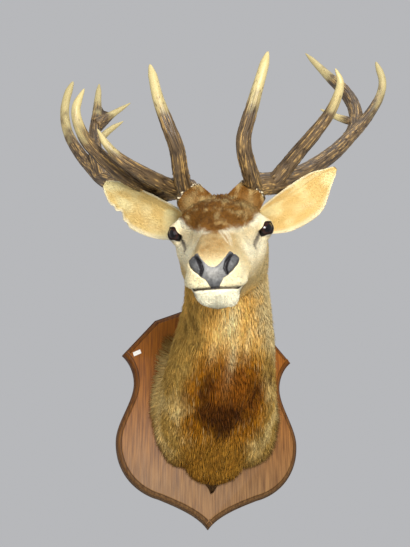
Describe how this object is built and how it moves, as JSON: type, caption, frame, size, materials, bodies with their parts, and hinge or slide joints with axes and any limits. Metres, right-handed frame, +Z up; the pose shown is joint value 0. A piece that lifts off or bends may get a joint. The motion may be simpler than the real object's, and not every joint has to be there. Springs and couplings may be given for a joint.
{
  "type": "red deer stag head mount",
  "caption": "Life-size stag's head and neck with branching antlers, turned a little aside, mounted on a scrolled wooden wall shield.",
  "frame": {"origin": "centre of the shield's flat back, which lies against the wall", "axes": "+Z up, +Y into the wall, -Y out into the room where the stag faces, +X to the stag's left (a viewer's right)"},
  "size_m": [0.695, 0.703, 1.0823],
  "materials": {
    "coat": "long grey-buff and brown neck hair",
    "pale_coat": "short cream and buff face and ear hair",
    "nose": "slate grey pebbled bare skin with a slight sheen",
    "eye": "dark brown glass eye, polished",
    "antler": "dark brown grooved and pearled antler with polished ivory tips",
    "wood": "waxed mid-brown hardwood, satin"
  },
  "bodies": {
    "root": {"neck": "coat", "head": "pale_coat", "lower_jaw": "pale_coat", "nose_pad": "nose", "eye_right": "eye", "eye_left": "eye", "antler_right_beam": "antler", "antler_right_outer_tine": "antler", "antler_right_brow_tine": "antler", "antler_right_bez_tine": "antler", "antler_right_trez_tine": "antler", "antler_right_crown": "antler", "antler_right_crown_upper_prong": "antler", "antler_right_crown_lower_prong": "antler", "antler_left_beam": "antler", "antler_left_outer_tine": "antler", "antler_left_brow_tine": "antler", "antler_left_trez_tine": "antler", "antler_left_crown": "antler", "antler_left_crown_lower_prong": "antler", "ear_right": "pale_coat", "ear_left": "pale_coat", "shield": "wood"}
  },
  "joints": []
}
